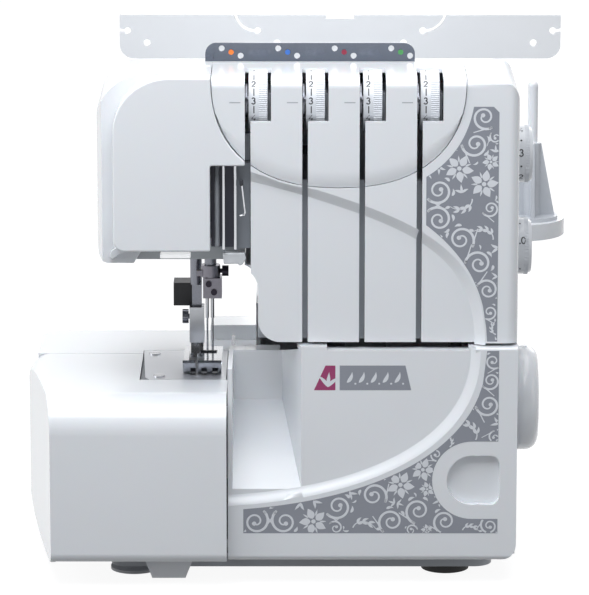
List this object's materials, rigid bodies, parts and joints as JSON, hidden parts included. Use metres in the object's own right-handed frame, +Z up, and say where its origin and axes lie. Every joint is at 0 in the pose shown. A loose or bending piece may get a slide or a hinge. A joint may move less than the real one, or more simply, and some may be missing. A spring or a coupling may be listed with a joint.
{
  "type": "serger_overlock_machine",
  "caption": "White home overlock machine with four threads, opening looper and side covers, turning tension dials, lifting presser foot and a telescopic thread stand",
  "frame": {"origin": "Centre of the footprint of the whole machine, on the table the feet stand on", "axes": "+X to the handwheel side, +Y to the thread stand at the rear, +Z up"},
  "size_m": [0.304, 0.24, 0.2875],
  "materials": {
    "white_plastic": "smooth moulded gloss",
    "dial_plastic": "gloss with fine knurl",
    "grey_plastic": "fine grain",
    "clear_grey_plastic": "smoky see-through plastic",
    "black_plastic": "fine grain",
    "rubber": "moulded rubber",
    "frame_alloy": "die-cast, bead blasted",
    "plate_steel": "brushed",
    "chrome_steel": "bright plated",
    "bar_steel": "ground steel",
    "bronze": "sintered bronze",
    "dark_metal": "dark enamel"
  },
  "bodies": {
    "drive": {"handwheel": "white_plastic", "main_shaft": "bar_steel", "belt_pulley": "dark_metal"},
    "motor_rotor": {"motor_pulley": "dark_metal"},
    "needle_drive": {"needle_bar": "bar_steel", "needle_clamp": "plate_steel", "needles": "bar_steel", "clamp_screws": "chrome_steel"},
    "presser": {"presser_bar": "bar_steel", "presser_foot": "chrome_steel", "foot_holder": "plate_steel", "foot_screw": "chrome_steel"},
    "lifter": {"presser_lever": "grey_plastic"},
    "upper_loop": {"upper_looper": "bar_steel"},
    "lower_loop": {"lower_looper": "bar_steel"},
    "knife": {"upper_knife": "bar_steel"},
    "feed": {"feed_dog": "plate_steel"},
    "dial_1": {"tension_dial_1": "dial_plastic"},
    "dial_2": {"tension_dial_2": "dial_plastic"},
    "dial_3": {"tension_dial_3": "dial_plastic"},
    "dial_4": {"tension_dial_4": "dial_plastic"},
    "stitch_dial": {"stitch_length_dial": "dial_plastic"},
    "diff_dial": {"differential_dial": "dial_plastic"},
    "cover_bush": {"cover_slide_bush": "dark_metal"},
    "front_cover": {"looper_cover": "white_plastic"},
    "left_cover": {"side_cover": "white_plastic"},
    "mast_middle": {"mast_stage": "chrome_steel"},
    "mast_top": {"guide_bar": "clear_grey_plastic"},
    "switch": {"power_switch": "black_plastic"},
    "root": {"base_pan": "grey_plastic", "rubber_feet": "rubber", "suction_foot": "rubber", "foot_bracket": "grey_plastic", "machine_frame": "frame_alloy", "frame_arm": "frame_alloy", "bed_housing": "white_plastic", "rear_housing": "white_plastic", "front_housing": "white_plastic", "face_cover": "white_plastic", "tension_panel": "white_plastic", "head_casting": "frame_alloy", "needle_plate": "plate_steel", "needle_bay": "plate_steel", "thread_hook": "chrome_steel", "thread_guide_plate": "chrome_steel", "tension_units": "chrome_steel", "tension_springs": "bar_steel", "thread_channels": "grey_plastic", "shaft_bearings": "bronze", "motor": "dark_metal", "drive_belt": "rubber", "spool_stand": "white_plastic", "cone_holders": "grey_plastic", "spool_pins": "white_plastic", "mast_base": "chrome_steel", "power_inlet": "black_plastic", "lamp": "black_plastic", "screws": "chrome_steel", "cover_rod": "bar_steel", "side_cover_pin": "bar_steel", "lower_knife": "bar_steel"}
  },
  "joints": [
    {"name": "drive_turn", "type": "hinge", "parent": "root", "child": "drive", "pos_m": [0.1155, -0.038, 0.087], "axis": [1, 0, 0], "continuous": true},
    {"name": "motor_turn", "type": "hinge", "parent": "root", "child": "motor_rotor", "pos_m": [0.0955, 0.01, 0.048], "axis": [1, 0, 0], "continuous": true},
    {"name": "needle_bar_slide", "type": "slide", "parent": "root", "child": "needle_drive", "axis": [0, 0, 1], "range_m": [-0.0065, 0.0185]},
    {"name": "presser_lift", "type": "slide", "parent": "root", "child": "presser", "axis": [0, 0, 1], "range_m": [0, 0.005]},
    {"name": "lifter_turn", "type": "hinge", "parent": "root", "child": "lifter", "pos_m": [-0.059, -0.002, 0.18], "axis": [1, 0, 0], "range_deg": [0, 35]},
    {"name": "upper_looper_swing", "type": "hinge", "parent": "root", "child": "upper_loop", "pos_m": [-0.013, -0.01, 0.05], "axis": [0, 1, 0], "range_deg": [-8, 6]},
    {"name": "lower_looper_swing", "type": "hinge", "parent": "root", "child": "lower_loop", "pos_m": [-0.073, -0.01, 0.05], "axis": [0, 1, 0], "range_deg": [-10, 10]},
    {"name": "knife_rock", "type": "hinge", "parent": "root", "child": "knife", "pos_m": [-0.034, -0.046, 0.07], "axis": [1, 0, 0], "range_deg": [-5, 5]},
    {"name": "feed_travel", "type": "slide", "parent": "root", "child": "feed", "axis": [0, 1, 0], "range_m": [-0.002, 0.002]},
    {"name": "tension_turn_1", "type": "hinge", "parent": "root", "child": "dial_1", "pos_m": [-0.0238, -0.0885, 0.262], "axis": [1, 0, 0], "range_deg": [-150, 120]},
    {"name": "tension_turn_2", "type": "hinge", "parent": "root", "child": "dial_2", "pos_m": [0.0066, -0.0885, 0.262], "axis": [1, 0, 0], "range_deg": [-150, 120]},
    {"name": "tension_turn_3", "type": "hinge", "parent": "root", "child": "dial_3", "pos_m": [0.037, -0.0885, 0.262], "axis": [1, 0, 0], "range_deg": [-150, 120]},
    {"name": "tension_turn_4", "type": "hinge", "parent": "root", "child": "dial_4", "pos_m": [0.0674, -0.0885, 0.262], "axis": [1, 0, 0], "range_deg": [-150, 120]},
    {"name": "stitch_length_turn", "type": "hinge", "parent": "root", "child": "stitch_dial", "pos_m": [0.1205, -0.05, 0.226], "axis": [1, 0, 0], "range_deg": [-120, 120]},
    {"name": "differential_turn", "type": "hinge", "parent": "root", "child": "diff_dial", "pos_m": [0.1205, -0.05, 0.175], "axis": [1, 0, 0], "range_deg": [-120, 120]},
    {"name": "cover_shift", "type": "slide", "parent": "root", "child": "cover_bush", "axis": [1, 0, 0], "range_m": [0, 0.01]},
    {"name": "looper_cover_turn", "type": "hinge", "parent": "cover_bush", "child": "front_cover", "pos_m": [0.038, -0.105, 0.018], "axis": [1, 0, 0], "range_deg": [0, 80]},
    {"name": "side_cover_turn", "type": "hinge", "parent": "root", "child": "left_cover", "pos_m": [-0.1475, -0.0115, 0.06], "axis": [0, 0, 1], "range_deg": [-95, 0]},
    {"name": "mast_rise", "type": "slide", "parent": "root", "child": "mast_middle", "axis": [0, 0, 1], "range_m": [0, 0.07]},
    {"name": "guide_bar_rise", "type": "slide", "parent": "mast_middle", "child": "mast_top", "axis": [0, 0, 1], "range_m": [0, 0.07]},
    {"name": "switch_rock", "type": "hinge", "parent": "root", "child": "switch", "pos_m": [0.1105, 0.019, 0.0475], "axis": [0, 1, 0], "range_deg": [-6, 6]}
  ],
  "couplings": [
    {"joint": "motor_turn", "follows": "drive_turn", "ratio": 2.6667},
    {"joint": "lifter_turn", "follows": "presser_lift", "rad_per_m": 122.17}
  ]
}
